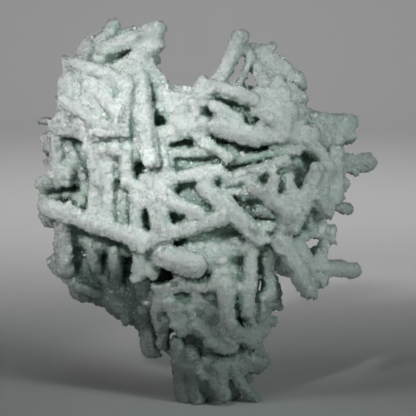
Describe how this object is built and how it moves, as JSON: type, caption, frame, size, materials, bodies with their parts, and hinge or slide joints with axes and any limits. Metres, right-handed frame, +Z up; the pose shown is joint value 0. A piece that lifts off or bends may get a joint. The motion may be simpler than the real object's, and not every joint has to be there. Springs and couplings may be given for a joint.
{
  "type": "prehnite after laumontite mineral specimen",
  "caption": "Jackstraw cluster of blunt finger-shaped prehnite casts after laumontite, grown together into one upright heap that stands on a small flat cut.",
  "frame": {"origin": "bottom centre of the specimen's box, on the level of the flat cut that it rests on", "axes": "+Z up, +X to the viewer's right, the pictured front faces -Y"},
  "size_m": [0.1136, 0.0582, 0.1259],
  "materials": {
    "prehnite": "milky mint-white translucent stone with a fine sugary crust of tiny sparkling crystals"
  },
  "bodies": {
    "root": {"prehnite_cluster": "prehnite"}
  },
  "joints": []
}
